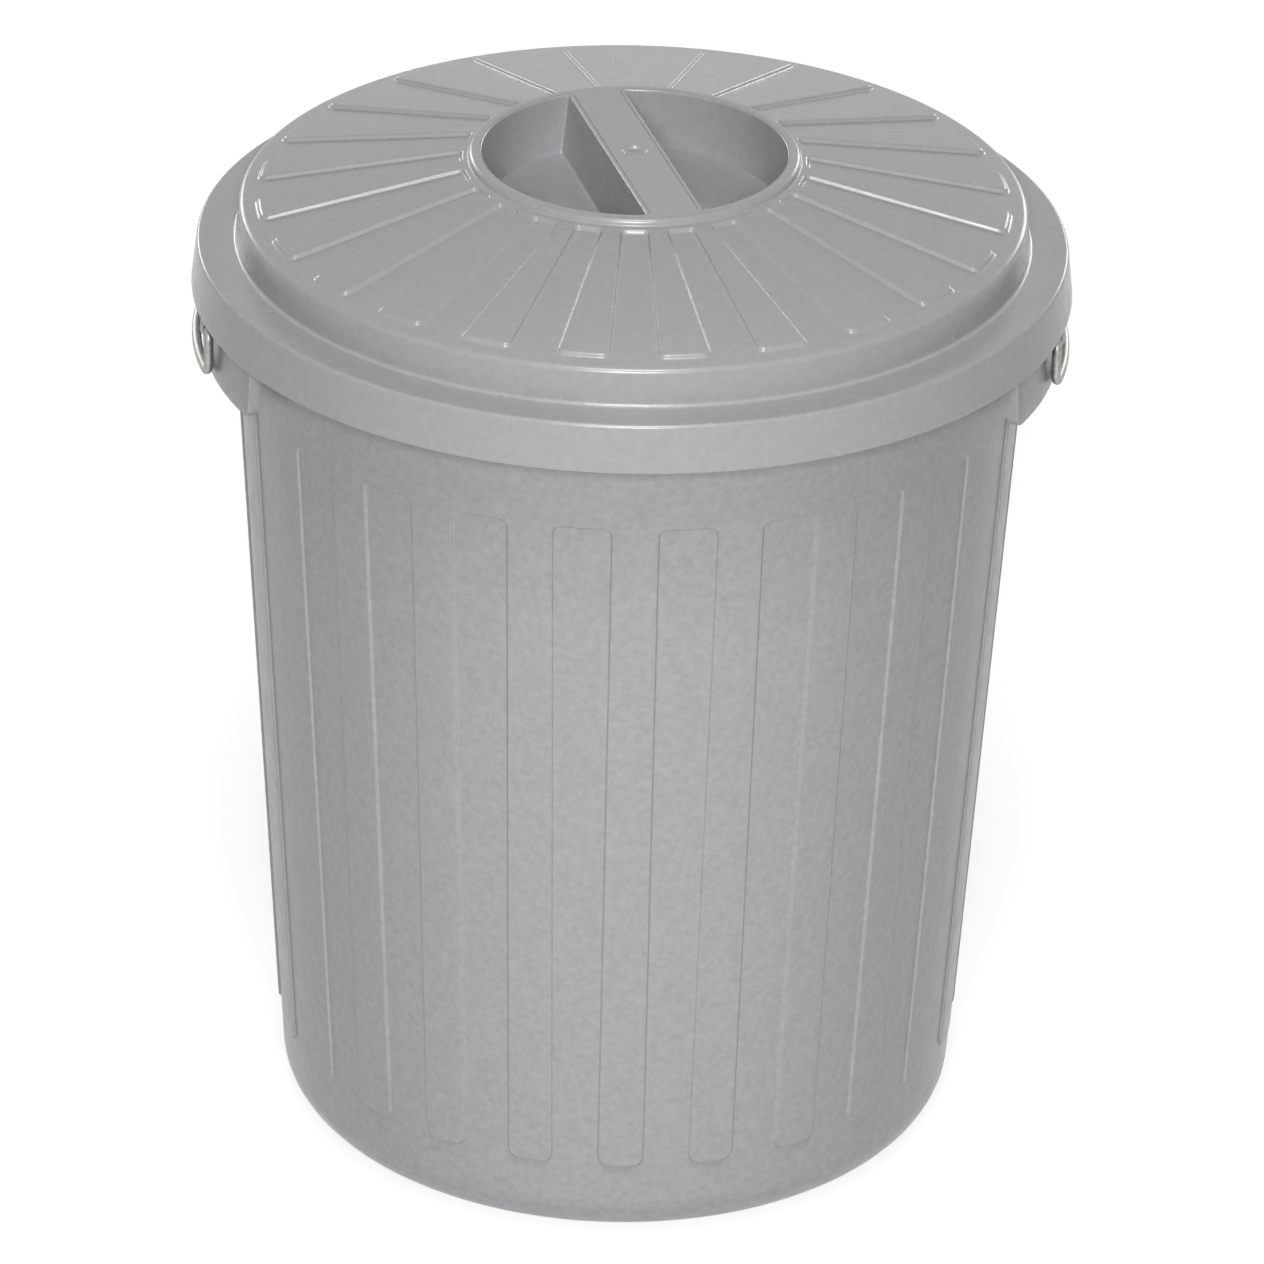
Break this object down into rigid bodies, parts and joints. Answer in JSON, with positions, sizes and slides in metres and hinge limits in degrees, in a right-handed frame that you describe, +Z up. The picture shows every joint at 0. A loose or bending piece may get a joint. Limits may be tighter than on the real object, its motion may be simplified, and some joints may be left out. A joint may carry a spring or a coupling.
{
  "type": "round moulded bin with lid and bail handles",
  "caption": "Round tapered upright bin with a ribbed wall, a lift-off overhanging lid with a sunk grip cup and bar, and a wire bail handle on each side.",
  "frame": {"origin": "on the floor, at the centre of the bin's foot, under the middle of its bounding box", "axes": "+Z up along the bin's axis; the handles are at -X and +X; -Y faces the viewer"},
  "size_m": [0.4398, 0.4398, 0.5254],
  "materials": {
    "shell": "silver-grey metal-look moulding, satin",
    "lid": "silver-grey metal-look moulding, satin",
    "wire": "dull zinc-plated wire"
  },
  "bodies": {
    "bin": {"body": "shell"},
    "lid": {"lid": "lid"},
    "left_handle": {"handle_left": "wire"},
    "right_handle": {"handle_right": "wire"}
  },
  "joints": [
    {"name": "lid_lift", "type": "slide", "parent": "bin", "child": "lid", "axis": [0, 0, 1], "range_m": [0, 0.45]},
    {"name": "handle_left_swing", "type": "hinge", "parent": "bin", "child": "left_handle", "pos_m": [-0.20945, 0, 0.45], "axis": [0, 1, 0], "range_deg": [0, 110]},
    {"name": "handle_right_swing", "type": "hinge", "parent": "bin", "child": "right_handle", "pos_m": [0.20945, 0, 0.45], "axis": [0, -1, 0], "range_deg": [0, 110]}
  ]
}
